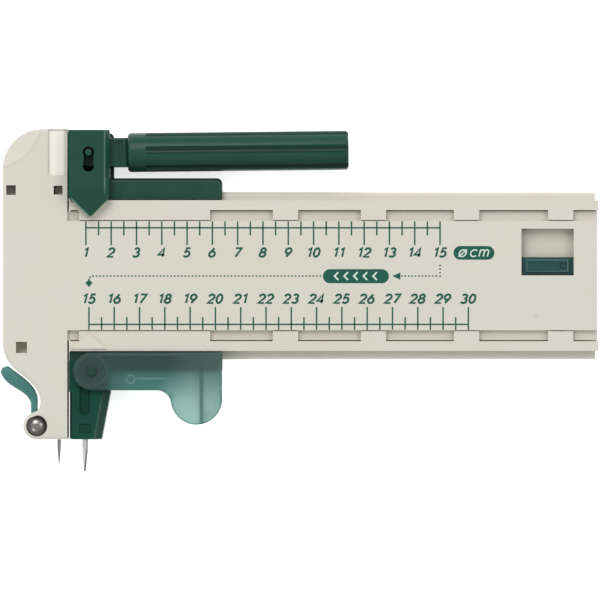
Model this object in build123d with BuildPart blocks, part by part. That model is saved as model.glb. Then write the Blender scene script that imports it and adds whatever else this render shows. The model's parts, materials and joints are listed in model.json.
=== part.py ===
"""A slide-type compass cutter for circles, folded shut.

The tool lies on its back. X runs along the slides, Y across them towards the grip, and Z out of the
scale face. The origin is on the rest face, on the centre line of the scale tongue and in line with
the centre needle. Every size is in millimetres.
"""

import os
from math import cos, radians, sin

from build123d import *

os.makedirs("parts", exist_ok=True)

# ---- Clearances ----
slide_gap = 0.2  # between two pieces that slide on each other
swing_gap = 0.3  # around a piece that swings
shaft_gap = 0.05  # radial, for a shaft that turns in a bore
end_gap = 0.34  # between the end block and what closes up against it

# ---- Case: end block and scale tongue ----
case_height = 8.6
split_height = 5.6  # joint between rear and front cover
shell = 1.2
block_left = -11.07
block_right = 1.76
block_corner = 8.0
tongue_end = 106.46
tongue_half = 12.75
shoulder_width = 1.95  # each side of the raised scale face
shoulder_drop = 1.2  # face down to the shoulders
edge_round = 0.4
block_round = 0.8  # front edge of the end block
hook_drop = 3.0  # snap hooks stop this far below the scale face
hook_slack = 0.3
step_depth = 0.8  # cut beside the carriage head
step_width = 3.82
dish_depth = 1.6
dish_curve = 40.4

# ---- Middle slide ----
channel_floor = 1.2
rail_wall = 1.95
long_tab = (2.0, 25.9)  # start after the rail's end, and length
short_tabs = (64.4, 47.0, 28.6, 10.0)  # starts, back from the rail's far end
short_tab_length = 5.0
flange_width = 1.7
flange_top = 5.0
flange_round = 0.8
mark_rise = 0.35  # raised triangles
mark_half = 3.6
mark_depth = 3.1
spring_strip = 0.3
spring_length = 14.0
spring_width = 4.0
spring_setback = 10.0

# ---- Carriage ----
carriage_plate = 1.4
carriage_spring_width = 5.0
carriage_spring_setback = 6.0
carriage_length = 30.25
bar_wall = 2.5
hook_thickness = 2.0
bar_round = 1.0  # outer upper edge and end corner of the bars

# ---- Head and folding handle ----
head_width = 8.06
head_above_rail = 2.7
head_rise = 9.47  # bar to the top of the head
head_side = 0.9
head_bevel = (0.93, 1.6)
rear_cheek_step = 0.65
handle_pin_rise = 5.03  # bar to the handle pin
handle_pin_radius = 0.7
handle_height = 5.3  # axis of the grip above the rest face
handle_tilt = 0.6  # the folded grip stands off by this angle
lock_drop = 2.7
slot_radius = 1.13
slot_pinch = 1.92
neck_half = 2.9
neck_thickness = 4.2
neck_length = 5.75
collar_groove = 0.85
groove_depth = 0.4
barrel_start = 7.6
barrel_length = 43.75
barrel_radius = 3.885
barrel_plain = 3.6
flute_count = 6
flute_turn = 4.4  # one flute faces forward, turned this far away from the bar
flute_width = 1.72
flute_depth = 0.55
spindle_radius = 1.2
cap_radius = 2.6
cap_length = 2.2
washer_length = 0.6

# ---- Blade foot and guard ----
foot_drop = 13.07  # bar to the toe
foot_base_drop = 3.7  # bar to the step where the foot narrows
foot_width = 8.1
foot_toe_width = 6.35
foot_step = 0.5
foot_split = 4.2
foot_skin = 0.7  # foot cover over the bar
foot_bevel = (1.4, 1.9)  # across and down, along the foot's right side
point_height = 5.0  # needle and blade lie in this plane
blade_from_left = 3.06
blade_reach = 6.43  # beyond the toe
blade_width = 3.2
blade_thickness = 0.38
blade_tilt = 15
guard_from_left = 4.48
guard_inset = 0.39  # hub centre inside the bar's outer face
guard_half = 3.75
guard_lobe_drop = 5.48
guard_lobe_radius = 5.08
guard_fillet = 2.85
guard_thickness = 1.2
guard_pin_radius = 0.8
guard_wall = 0.7
guard_wall_depth = 6.0

# ---- Centre needle and its cover ----
needle_radius = 0.38
needle_reach = 5.72  # beyond the end block
needle_taper = 4.2
clamp_half = 1.0
clamp_length = 9.2
cover_pin_x = -4.27
lobe_radius = 2.75
cover_pin_radius = 1.0
dome_radius = 1.95
dome_height = 1.15
cover_thickness = 2.8
cover_hub = 2.2
cover_groove = 1.2

# ---- Lock in the tongue ----
window_setback = 4.56  # from the tongue's end
window_length = 10.35
window_low = 0.04
window_rim = 1.51  # edge of the scale face to the window
platform_depth = 2.4  # window rim down to the floor that shows inside
button_width = 3.4
button_setback = 1.3  # window rim down to the button's body
button_rise = 0.7
button_border = (1.0, 0.45)
button_dot = 0.5
button_spare = 0.65  # left over at the end of the button's travel
leg_width = 2.2
arm_thickness = 0.8
pad_length = 2.0
detent_strip = 0.18

# ---- Sizes that follow ----
channel_bottom = carriage_plate + slide_gap
tongue_bottom = channel_bottom + channel_floor + slide_gap
tongue_floor = tongue_bottom + shell - slide_gap
face_half = tongue_half - shoulder_width
shoulder_height = case_height - shoulder_drop
rail_start = block_right + end_gap
rail_end = tongue_end + end_gap
flange_end = rail_end - 0.5
rail_inner = tongue_half + slide_gap
rail_outer = rail_inner + rail_wall
tab_inner = face_half + slide_gap
tab_bottom = shoulder_height + slide_gap
bar_inner = rail_outer + flange_width + slide_gap
bar_outer = bar_inner + bar_wall
hook_inner = rail_outer + slide_gap
hook_bottom = flange_top + slide_gap
bar_top = hook_bottom + hook_thickness
carriage_end = rail_start + carriage_length
cavity_left = rail_start + head_side
handle_pin_x = cavity_left + neck_half + swing_gap / 2
handle_pin_y = bar_outer + handle_pin_rise
head_top = bar_outer + head_rise
head_right = rail_start + head_width
head_height = case_height + head_above_rail
foot_bottom = -bar_outer - foot_drop
foot_base_end = -bar_outer - foot_base_drop
foot_right = rail_start + foot_width
foot_toe_right = rail_start + foot_toe_width
foot_top_height = bar_top + foot_skin
blade_x = rail_start + blade_from_left
blade_tip = foot_bottom - blade_reach
guard_x = rail_start + guard_from_left
guard_y = guard_inset - bar_outer
guard_end = carriage_end
guard_lobe_x = guard_end - guard_lobe_radius + 0.04
guard_lobe_y = guard_y - guard_lobe_drop
guard_bottom = foot_top_height + swing_gap
guard_top = guard_bottom + guard_thickness
block_top = head_top + 0.3
block_bottom = foot_bottom - 0.03
cover_pin_y = block_bottom + lobe_radius - 0.05
needle_tip = block_bottom - needle_reach
clamp_bottom = block_bottom + shell
clamp_top = clamp_bottom + clamp_length
cavity_top = case_height - shell
hollow_low = cover_pin_y + 17.2
hollow_high = bar_outer - slide_gap
cover_low = point_height - cover_thickness / 2
cover_high = point_height + cover_thickness / 2
window_right = tongue_end - window_setback
window_left = window_right - window_length
window_high = face_half - window_rim
platform_top = case_height - platform_depth
platform_high = face_half - shell - 0.1
leg_right = window_right + 0.4
leg_left = window_left - 0.4 - leg_width
leg_bottom = tongue_floor + 2 * detent_strip
leg_top = case_height - shell - slide_gap
button_low = window_low + slide_gap
button_high = button_low + button_width
lock_travel = window_high - button_high - button_spare
pad_tip = tongue_half - lock_travel - swing_gap
pad_base = pad_tip - pad_length
snap_windows = [  # x, y and side of each
    (block_left + 1.7, rail_outer + 2.02, 1.9),
    (block_right - 1.81, rail_outer + 2.0, 1.75),
    (block_left + 3.77, cover_pin_y + 15.5, 2.2),
]


def slab(x, y, z, mode=Mode.ADD):
    """A rectangular block between two values of x, of y and of z."""
    with Locations((x[0], y[0], z[0])):
        Box(x[1] - x[0], y[1] - y[0], z[1] - z[0], align=(Align.MIN, Align.MIN, Align.MIN), mode=mode)


def post(x, y, z, radius, mode=Mode.ADD):
    """A round post or hole along Z between two heights."""
    with Locations((x, y, z[0])):
        Cylinder(radius, z[1] - z[0], align=(Align.CENTER, Align.CENTER, Align.MIN), mode=mode)


def finish(piece, name):
    """Label a finished piece and write it to its own file."""
    piece.part.label = name
    export_step(piece.part, f"parts/{name}.step")


# ---- Outlines shared by more than one piece ----
def cover_arm_outline():
    """The needle cover seen from the front: hub, thin neck and thumb blade."""
    with BuildSketch() as outline:
        with BuildLine():
            upper = Spline(
                (cover_pin_x, cover_pin_y + 4.3),
                (cover_pin_x - 0.2, cover_pin_y + 6.3),
                (cover_pin_x - 2.9, cover_pin_y + 9.55),
                (cover_pin_x - 5.8, cover_pin_y + 11.75),
            )
            thumb_edge = (cover_pin_x - 7.1, cover_pin_y + 11.2)
            thumb = ThreePointArc(upper @ 1, thumb_edge, (cover_pin_x - 6.95, cover_pin_y + 9.86))
            lower = Spline(
                thumb @ 1,
                (cover_pin_x - 4.35, cover_pin_y + 7.45),
                (cover_pin_x - 1.6, cover_pin_y + 5.2),
                (cover_pin_x - 1.25, cover_pin_y + 4.3),
            )
            Polyline(
                lower @ 1,
                (cover_pin_x - 1.3, cover_pin_y),
                (cover_pin_x - 0.05, cover_pin_y),
                upper @ 0,
            )
        make_face()
        with Locations((cover_pin_x, cover_pin_y)):
            Circle(cover_hub)
    return outline.sketch


def block_outline():
    """The end block: a tall plate with a round thumb corner, a cradle for the needle cover and a lobe."""
    with BuildSketch() as outline:
        with BuildLine():
            start = (block_right, block_bottom)
            right = Line(start, (block_right, block_top))
            top = Line(right @ 1, (block_left + block_corner, block_top))
            corner = TangentArc(top @ 1, (block_left, block_top - block_corner), tangent=(-1, 0))
            left = Line(corner @ 1, (block_left, cover_pin_y + 16.4))
            cradle = Spline(
                left @ 1,
                (cover_pin_x - 4.6, cover_pin_y + 11.45),
                (cover_pin_x - 0.87, cover_pin_y + 8.25),
                (cover_pin_x + 0.65, cover_pin_y + 5.3),
                (cover_pin_x + 0.1, cover_pin_y + lobe_radius + 0.25),
                tangents=[(0, -1), (-0.7, -0.7)],
            )
            neck = Line(cradle @ 1, (cover_pin_x - 1.3, cover_pin_y + lobe_radius * 0.88))
            lobe_left = (cover_pin_x - lobe_radius, cover_pin_y)
            bulge = ThreePointArc(neck @ 1, lobe_left, (cover_pin_x, block_bottom))
            Line(bulge @ 1, start)
        make_face()
    return outline.sketch


# ---- Case ----


def cover_slot():
    """The room that the needle cover turns in, cut out of both covers."""
    low = cover_low - slide_gap
    high = cover_high + slide_gap
    reach = cover_hub + swing_gap
    past_edge = block_left - 1
    slab((past_edge, cover_pin_x + reach), (block_bottom - 1, cover_pin_y + reach), (low, high),
         Mode.SUBTRACT)
    slab((past_edge, cover_pin_x + 0.35), (cover_pin_y, cover_pin_y + 4.6), (low, high), Mode.SUBTRACT)


with BuildPart() as front_cover:
    with BuildSketch(Plane.XY.offset(split_height)):
        add(block_outline())
    extrude(amount=case_height - split_height)
    rim = front_cover.faces().sort_by(Axis.Z)[-1].edges()
    fillet(rim.filter_by(lambda e: e.center().X < block_right - 0.1), block_round)
    slab((block_right - shell, tongue_end), (-tongue_half, tongue_half), (split_height, shoulder_height))
    slab((block_right - shell, tongue_end), (-face_half, face_half), (split_height, case_height))
    # thumb dish in the round corner, and the step beside the carriage head
    with Locations((block_left - 3.0, block_top + 3.05, case_height - dish_depth + dish_curve)):
        Sphere(dish_curve, mode=Mode.SUBTRACT)
    slab((block_right - step_width, block_right + 1), (bar_outer + 0.5, block_top - 0.15),
         (case_height - step_depth, case_height + 1), Mode.SUBTRACT)
    # hollow inside
    slab((block_left + shell, block_right - shell), (hollow_low, hollow_high),
         (split_height, cavity_top), Mode.SUBTRACT)
    slab((block_right - 2 * shell, tongue_end - shell), (-face_half + shell, face_half - shell),
         (split_height, cavity_top), Mode.SUBTRACT)
    # lock window and the windows that the rear cover's hooks snap into
    slab((window_left, window_right), (window_low, window_high), (split_height, case_height), Mode.SUBTRACT)
    for x, y, side in snap_windows:
        with Locations((x, y, split_height)):
            Box(side, side, case_height, align=(Align.CENTER, Align.CENTER, Align.MIN), mode=Mode.SUBTRACT)
    cover_slot()
    post(cover_pin_x, cover_pin_y, (0, case_height), cover_pin_radius, Mode.SUBTRACT)
    post(cover_pin_x, cover_pin_y, (case_height - step_depth, case_height + 1), dome_radius + 0.12,
         Mode.SUBTRACT)
    slab((-clamp_half, clamp_half), (clamp_bottom, clamp_top), (cover_low, cover_high), Mode.SUBTRACT)
finish(front_cover, "front_cover")

with BuildPart() as rear_cover:
    with BuildSketch():
        add(block_outline())
    extrude(amount=split_height)
    slab((block_right - shell, tongue_end), (-tongue_half, tongue_half), (tongue_bottom, split_height))
    slab((block_left + shell, block_right - shell), (hollow_low, hollow_high), (shell, split_height),
         Mode.SUBTRACT)
    slab((block_right - 2 * shell, tongue_end - shell), (-tongue_half + shell, tongue_half - shell),
         (tongue_floor, split_height), Mode.SUBTRACT)
    # snap hooks, and the platform that the lock button straddles
    hook_height = case_height - hook_drop - shell
    for x, y, side in snap_windows:
        width = side - hook_slack
        with Locations((x, y, shell)):
            Box(width, width, hook_height, align=(Align.CENTER, Align.CENTER, Align.MIN))
    slab((window_left - 0.2, window_right + 0.2), (window_low - 0.2, platform_high),
         (tongue_bottom, platform_top))
    cover_slot()
    post(cover_pin_x, cover_pin_y, (shell, case_height), cover_pin_radius, Mode.SUBTRACT)
    slab((-clamp_half, clamp_half), (clamp_bottom, clamp_top), (cover_low, cover_high), Mode.SUBTRACT)
    with Locations(Location((0, clamp_bottom + 1, point_height), (90, 0, 0))):
        Cylinder(needle_radius + 0.01, 2 * shell + 2, align=(Align.CENTER, Align.CENTER, Align.MIN),
                 mode=Mode.SUBTRACT)
    # way out for the brake pad
    slab((leg_right - swing_gap, leg_right + leg_width + swing_gap),
         (tongue_half - 2 * shell, tongue_half + 1), (leg_bottom - slide_gap, split_height), Mode.SUBTRACT)
finish(rear_cover, "rear_cover")

# ---- Centre needle, held in a brass clamp ----
with BuildPart() as needle_clamp:
    slab((-clamp_half, clamp_half), (clamp_bottom, clamp_top), (cover_low, cover_high))
    with Locations(Location((0, clamp_top - 3, point_height), (90, 0, 0))):
        Cylinder(needle_radius, 20, align=(Align.CENTER, Align.CENTER, Align.MIN), mode=Mode.SUBTRACT)
finish(needle_clamp, "needle_clamp")

with BuildPart() as centre_needle:
    with BuildSketch(Plane.XY.offset(point_height)):
        with BuildLine():
            Polyline((0, clamp_top - 3), (needle_radius, clamp_top - 3),
                     (needle_radius, needle_tip + needle_taper), (0.03, needle_tip), (0, needle_tip),
                     close=True)
        make_face()
    revolve(axis=Axis((0, 0, point_height), (0, 1, 0)))
finish(centre_needle, "centre_needle")

# ---- Needle cover on its domed pin ----
with BuildPart() as needle_cover_pin:
    post(cover_pin_x, cover_pin_y, (shell, case_height - step_depth), cover_pin_radius)
    post(cover_pin_x, cover_pin_y, (case_height - step_depth, case_height - 0.1), dome_radius)
    with BuildSketch(Plane.XZ.offset(-cover_pin_y)):
        with BuildLine():
            side = Line((cover_pin_x, case_height - 0.1), (cover_pin_x + dome_radius, case_height - 0.1))
            shoulder = (cover_pin_x + 0.73 * dome_radius, case_height + 0.65 * dome_height)
            dome = ThreePointArc(side @ 1, shoulder, (cover_pin_x, case_height + dome_height))
            Line(dome @ 1, side @ 0)
        make_face()
    revolve(axis=Axis((cover_pin_x, cover_pin_y, 0), (0, 0, 1)))
finish(needle_cover_pin, "needle_cover_pin")

with BuildPart() as needle_cover:
    with BuildSketch(Plane.XY.offset(cover_low)):
        add(cover_arm_outline())
    extrude(amount=cover_thickness)
    fillet(needle_cover.faces().sort_by(Axis.Z)[-1].edges(), edge_round)
    # groove in the leading edge, which the needle point drops into
    with BuildSketch(Plane.XY.offset(point_height - cover_groove / 2)):
        with BuildLine():
            Polyline((cover_pin_x - 12, cover_pin_y + 11.2), (cover_pin_x - 2.05, cover_pin_y + 4.3),
                     (cover_pin_x - 0.75, cover_pin_y + 6.35), (cover_pin_x - 5.5, cover_pin_y + 10.5),
                     (cover_pin_x - 12, cover_pin_y + 14.5), close=True)
        make_face()
    extrude(amount=cover_groove, mode=Mode.SUBTRACT)
    post(cover_pin_x, cover_pin_y, (0, case_height), cover_pin_radius + shaft_gap, Mode.SUBTRACT)
finish(needle_cover, "needle_cover")

# ---- Lock: a button that straddles the platform, an arm, a brake pad and a detent spring ----
with BuildPart() as lock_button:
    body_low = platform_top + slide_gap
    body_top = case_height - button_setback
    slab((leg_left, leg_right + leg_width), (button_low, button_high), (body_low, leg_top))
    slab((window_left + slide_gap, window_right - slide_gap), (button_low, button_high), (body_low, body_top))
    for left in (leg_left, leg_right):
        slab((left, left + leg_width), (button_low, button_high), (leg_bottom, leg_top))
    slab((window_left + button_border[0], window_right - button_border[0]),
         (button_low + button_border[1], button_high - button_border[1]), (body_low, body_top + button_rise))
    fillet(lock_button.faces().sort_by(Axis.Z)[-1].edges(), 0.2)
    # sunk panel and raised dot on the button
    frame_width = 0.35
    dot_x = window_right - button_border[0] - 3 * frame_width
    panel_top = body_top + button_rise - 0.15
    slab((window_left + button_border[0] + frame_width, dot_x - button_dot - frame_width),
         (button_low + button_border[1] + frame_width, button_high - button_border[1] - frame_width),
         (panel_top, case_height), Mode.SUBTRACT)
    post(dot_x, (button_low + button_high) / 2, (body_top, panel_top + 0.3), button_dot)
    # arm to the brake pad
    slab((leg_right, leg_right + leg_width), (button_high - 1, pad_base),
         (leg_bottom, leg_bottom + arm_thickness))
finish(lock_button, "lock_button")

with BuildPart() as brake_pad:
    slab((leg_right, leg_right + leg_width), (pad_base, pad_tip),
         (leg_bottom, leg_bottom + arm_thickness))
    fillet(brake_pad.faces().sort_by(Axis.Y)[-1].edges().filter_by(Axis.Z), 0.3)
finish(brake_pad, "brake_pad")

with BuildPart() as lock_spring:
    slab((leg_left - 0.5, leg_left + leg_width), (button_low, button_high + lock_travel),
         (tongue_floor, tongue_floor + detent_strip))
    slab((leg_left + 0.5, leg_left + leg_width - 0.7), (button_low + 1.2, button_high + lock_travel - 1.2),
         (0, case_height), Mode.SUBTRACT)
finish(lock_spring, "lock_spring")

# ---- Middle slide: a channel with tabs over the tongue's shoulders ----
with BuildPart() as middle_slide:
    slab((rail_start, rail_end), (-rail_outer, rail_outer), (channel_bottom, channel_bottom + channel_floor))
    for side in (-1, 1):
        near, far = sorted((side * rail_inner, side * rail_outer))
        slab((rail_start, rail_end), (near, far), (channel_bottom, case_height))
        near, far = sorted((side * rail_outer, side * (rail_outer + flange_width)))
        slab((rail_start, flange_end), (near, far), (channel_bottom, flange_top))
    ends = middle_slide.edges().filter_by(Axis.Z).group_by(Axis.X)[0]
    fillet(ends.sort_by(Axis.Z)[-4:], edge_round)
    level = (flange_top - 0.01, flange_top + 0.01)
    flanges = middle_slide.edges().filter_by(Axis.X).filter_by_position(Axis.Z, *level)
    fillet(flanges.sort_by(Axis.Y)[0::len(flanges) - 1], flange_round)
    for side in (-1, 1):
        near, far = sorted((side * tab_inner, side * (rail_inner + 0.5)))
        slab((rail_start + long_tab[0], rail_start + sum(long_tab)), (near, far),
             (tab_bottom, case_height))
        for setback in short_tabs:
            start = rail_end - setback
            slab((start, start + short_tab_length), (near, far), (tab_bottom, case_height))
    # raised marks that read the lower scale
    for side, tip in ((-1, rail_start + 3.9), (1, rail_start + 3.57)):
        with BuildSketch(Plane.XY.offset(tab_bottom)):
            with BuildLine():
                Polyline((tip, side * (tab_inner + 0.36)),
                         (tip - mark_half, side * (tab_inner + 0.36 + mark_depth)),
                         (tip + mark_half, side * (tab_inner + 0.36 + mark_depth)), close=True)
            make_face()
        extrude(amount=case_height + mark_rise - tab_bottom)
    # pocket for the friction spring under the tongue
    pocket = (rail_start + spring_setback, rail_start + spring_setback + spring_length)
    low = channel_bottom + channel_floor - 2 * spring_strip
    slab(pocket, (-spring_width / 2, spring_width / 2), (low, case_height), Mode.SUBTRACT)
finish(middle_slide, "middle_slide")

with BuildPart() as slide_spring:
    half = spring_width / 2 - swing_gap
    slab((pocket[0] + slide_gap, pocket[1] - slide_gap), (-half, half), (low, low + spring_strip))
finish(slide_spring, "slide_spring")

# ---- Carriage: back plate, two hooked bars, rear cheek of the head and rear half of the foot ----
cavity_low = handle_height - neck_thickness / 2 - swing_gap
cavity_high = handle_height + neck_thickness / 2 + swing_gap
cavity_right = handle_pin_x + neck_half + swing_gap / 2
cavity_floor = handle_pin_y - lock_drop - neck_half - swing_gap
blade_room = (blade_x - 1.4, blade_x + 1.9)
holder_top = foot_base_end + 2.2
holder_bottom = foot_bottom + 1.4
pocket_end = carriage_end - carriage_spring_setback
carriage_pocket = (pocket_end - spring_length, pocket_end)


def head_room():
    """The space between the cheeks, where the handle's eye turns and drops."""
    heights = (cavity_low, cavity_high)
    slab((cavity_left, cavity_right), (cavity_floor, head_top + 1), heights, Mode.SUBTRACT)
    mouth_low = handle_pin_y - neck_half - swing_gap
    slab((cavity_left, head_right + 3), (mouth_low, head_top + 1), heights, Mode.SUBTRACT)


def pin_slot(low, high):
    """The figure-of-eight slot: the handle pin rests in one lobe or the other and snaps through the waist."""
    for drop in (0, lock_drop):
        post(handle_pin_x, handle_pin_y - drop, (low, high), slot_radius, Mode.SUBTRACT)
    waist = (handle_pin_x - slot_pinch / 2, handle_pin_x + slot_pinch / 2)
    slab(waist, (handle_pin_y - lock_drop, handle_pin_y), (low, high), Mode.SUBTRACT)


def foot_outline(step):
    """The foot seen from the front, from the bar down to the toe, stepped in on its left side."""
    with BuildSketch() as outline:
        with BuildLine():
            Polyline((rail_start, -bar_inner), (rail_start, foot_base_end),
                     (rail_start + step, foot_base_end), (rail_start + step, foot_bottom),
                     (foot_toe_right, foot_bottom), (foot_right, foot_base_end),
                     (foot_right, -bar_inner), close=True)
        make_face()
    return outline.sketch


with BuildPart() as carriage_base:
    slab((rail_start, carriage_end), (-bar_outer, bar_outer), (0, carriage_plate))
    for side in (-1, 1):
        near, far = sorted((side * bar_inner, side * bar_outer))
        slab((rail_start, carriage_end), (near, far), (0, bar_top))
        near, far = sorted((side * hook_inner, side * (bar_inner + 0.3)))
        slab((rail_start, carriage_end), (near, far), (hook_bottom, bar_top))
    corners = carriage_base.edges().filter_by(Axis.Z).group_by(Axis.X)[-1].sort_by(Axis.Y)
    fillet([corners[0], corners[-1]], bar_round)
    level = (bar_top - 0.01, bar_top + 0.01)
    rims = carriage_base.edges().filter_by(Axis.X).filter_by_position(Axis.Z, *level)
    fillet(rims.sort_by(Axis.Y)[0::len(rims) - 1], bar_round * 0.8)
    # rear cheek of the head
    slab((rail_start, head_right + rear_cheek_step), (bar_outer - 1, head_top - 0.4), (0, cavity_low))
    corner = carriage_base.edges().filter_by(Axis.Z).sort_by(Axis.Y)[-2:].sort_by(Axis.X)[-1]
    fillet(corner, bar_round)
    # rear half of the foot
    with BuildSketch():
        add(foot_outline(0.01))
    extrude(amount=foot_split)
    head_room()
    pin_slot(carriage_plate - 0.5, cavity_low)
    slab(blade_room, (holder_bottom, holder_top), (shell, foot_split), Mode.SUBTRACT)
    slab((blade_x - 0.9, blade_x + 0.9), (foot_bottom - 1, holder_bottom),
         (point_height - 2, foot_split), Mode.SUBTRACT)
    post(guard_x, guard_y, (shell + 2, case_height), guard_pin_radius, Mode.SUBTRACT)
    # pocket for the friction spring under the middle slide
    low = carriage_plate - 2 * spring_strip
    half = carriage_spring_width / 2
    slab(carriage_pocket, (-half, half), (low, carriage_plate + 1), Mode.SUBTRACT)
finish(carriage_base, "carriage_base")

with BuildPart() as carriage_spring:
    half = carriage_spring_width / 2 - swing_gap
    slab((carriage_pocket[0] + slide_gap, carriage_pocket[1] - slide_gap), (-half, half),
         (low, low + spring_strip))
finish(carriage_spring, "carriage_spring")

with BuildPart() as head_cover:
    pointer_low = case_height + mark_rise + 0.25
    pointer_tip = face_half + 0.68
    pointer_crease = bar_outer - 1.8
    # front cheek with its bevelled right side
    with BuildSketch(Plane.XZ.offset(-head_top)):
        with BuildLine():
            Polyline((rail_start, cavity_low), (rail_start, head_height),
                     (head_right - head_bevel[0], head_height), (head_right, head_height - head_bevel[1]),
                     (head_right, cavity_low), close=True)
        make_face()
    extrude(amount=head_top - bar_outer)
    slab((rail_start, head_right), (hook_inner + 0.2, bar_outer), (bar_top, head_height - 0.6))
    head_room()
    # pointer over the rail, sloping down from the crease
    with BuildSketch(Plane.XY.offset(pointer_low)):
        with BuildLine():
            Polyline((rail_start, bar_outer), (rail_start, pointer_tip + 4.0),
                     (handle_pin_x + 0.2, pointer_tip), (head_right - 0.2, pointer_tip + 3.7),
                     (head_right - 0.2, bar_outer), close=True)
        make_face()
    extrude(amount=head_height - pointer_low)
    with BuildSketch(Plane.YZ.offset(rail_start - 1)):
        with BuildLine():
            Polyline((pointer_crease, head_height), (pointer_tip - 1, head_height - 1.0),
                     (pointer_tip - 1, head_height + 1), (pointer_crease, head_height + 1), close=True)
        make_face()
    extrude(amount=head_width + 3, mode=Mode.SUBTRACT)
    pin_slot(cavity_high, head_height)
finish(head_cover, "head_cover")

# ---- Foot: cover, blade and blade holder ----
with BuildPart() as foot_cover:
    with BuildSketch(Plane.XY.offset(foot_split)):
        add(foot_outline(foot_step))
    extrude(amount=foot_top_height - foot_split)
    top_edges = foot_cover.faces().sort_by(Axis.Z)[-1].edges()
    chamfer(top_edges.filter_by(lambda e: e.center().X > foot_toe_right - 0.1), foot_bevel[1], foot_bevel[0])
    slab((rail_start - 1, foot_right + 1), (-bar_outer, 0), (0, bar_top), Mode.SUBTRACT)
    holder_high = point_height + blade_width / 2 + 0.15
    slab(blade_room, (holder_bottom, holder_top), (foot_split, holder_high + 0.05), Mode.SUBTRACT)
    slab((blade_x - 0.9, blade_x + 0.9), (foot_bottom - 1, holder_bottom),
         (foot_split, point_height + 2), Mode.SUBTRACT)
    # finger recess and the small plate under it
    recess_x = blade_x + 0.05
    recess_half = 1.045
    recess_low = foot_bottom + 5.87
    with BuildSketch(Plane.XY.offset(foot_top_height - 0.6)):
        with BuildLine():
            recess_high = foot_base_end + 1.5
            Polyline((recess_x - recess_half, recess_high), (recess_x - recess_half, recess_low),
                     (recess_x + recess_half, recess_low), (recess_x + recess_half, recess_high), close=True)
        make_face()
        with Locations((recess_x, recess_low)):
            Circle(recess_half)
    extrude(amount=1, mode=Mode.SUBTRACT)
    slab((recess_x - 1.16, recess_x + 1.3), (foot_bottom + 1.27, foot_bottom + 3.07),
         (foot_top_height - 0.25, foot_top_height + 1), Mode.SUBTRACT)
    post(guard_x, guard_y, (0, case_height), guard_pin_radius, Mode.SUBTRACT)
finish(foot_cover, "foot_cover")

blade_plane = Plane(origin=(blade_x, 0, point_height), x_dir=(0, 1, 0),
                    z_dir=(cos(radians(blade_tilt)), 0, -sin(radians(blade_tilt))))
with BuildPart() as blade_holder:
    slab((blade_room[0] + 0.05, blade_room[1] - 0.05), (holder_bottom + 0.05, holder_top - 0.05),
         (shell, holder_high))
    with BuildSketch(blade_plane):
        Rectangle(100, 6)
    extrude(amount=blade_thickness / 2 + 0.02, both=True, mode=Mode.SUBTRACT)
finish(blade_holder, "blade_holder")

with BuildPart() as blade:
    with BuildSketch(blade_plane):
        with BuildLine():
            Polyline((holder_top - 0.5, -blade_width / 2), (holder_top - 0.5, blade_width / 2),
                     (blade_tip + 4.4, blade_width / 2), (blade_tip, -0.25), (blade_tip + 1.6, -0.9),
                     (blade_tip + 3.6, -blade_width / 2), close=True)
        make_face()
    extrude(amount=blade_thickness / 2, both=True)
finish(blade, "blade")

# ---- Swinging guard and its pin ----
def lobe_side(radius, top):
    """The right half of the guard's lobe, straight from its widest point up to the given height."""
    with BuildSketch() as outline:
        with BuildLine():
            right = Line((guard_lobe_x + radius, top), (guard_lobe_x + radius, guard_lobe_y))
            low = (guard_lobe_x, guard_lobe_y - radius)
            curve = TangentArc(right @ 1, low, tangent=(0, -1))
            Polyline(curve @ 1, (guard_lobe_x, top), right @ 0)
        make_face()
    return outline.sketch


with BuildPart() as guard_pin:
    post(guard_x, guard_y, (shell + 2, guard_top + 0.1), guard_pin_radius)
    post(guard_x, guard_y, (guard_top + 0.05, guard_top + 0.35), guard_pin_radius + 0.15)
    fillet(guard_pin.faces().sort_by(Axis.Z)[-1].edges(), 0.2)
finish(guard_pin, "guard_pin")

with BuildPart() as blade_guard:
    arm_low = guard_y - guard_half
    with BuildSketch(Plane.XY.offset(guard_bottom)) as guard_face:
        with Locations((guard_x, guard_y)):
            Circle(guard_half)
        with Locations(((guard_x + guard_end) / 2, guard_y)):
            Rectangle(guard_end - guard_x, 2 * guard_half)
        with Locations((guard_lobe_x, guard_lobe_y)):
            Circle(guard_lobe_radius)
        reach = (guard_lobe_radius**2 - (arm_low - guard_lobe_y) ** 2) ** 0.5
        fillet(guard_face.vertices().sort_by_distance((guard_lobe_x - reach, arm_low, 0))[0], guard_fillet)
    extrude(amount=guard_thickness)
    fillet(blade_guard.faces().sort_by(Axis.Z)[-1].edges(), 0.35)
    # walls behind the plate: a rib inside the lobe, and the outer end past it
    wall_top = -bar_outer - swing_gap
    wall_low = guard_bottom - guard_wall_depth
    wall_high = guard_bottom + 0.3
    rib_x = guard_lobe_x + 0.6
    rib_low = guard_lobe_y - guard_lobe_radius + 0.38
    slab((rib_x, rib_x + guard_wall), (rib_low, wall_top), (wall_low, wall_high))
    wall_outer = guard_lobe_radius - 0.1
    with BuildSketch(Plane.XY.offset(wall_low)):
        add(lobe_side(wall_outer, wall_top))
        add(lobe_side(wall_outer - guard_wall, wall_top + 1), mode=Mode.SUBTRACT)
        with Locations((rib_x + guard_wall, guard_lobe_y)):
            Rectangle(2 * guard_lobe_radius, 4 * guard_lobe_radius, align=(Align.MIN, Align.CENTER),
                      mode=Mode.INTERSECT)
    extrude(amount=wall_high - wall_low)
    post(guard_x, guard_y, (0, guard_top + 1), guard_pin_radius + shaft_gap, Mode.SUBTRACT)
finish(blade_guard, "blade_guard")

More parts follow.
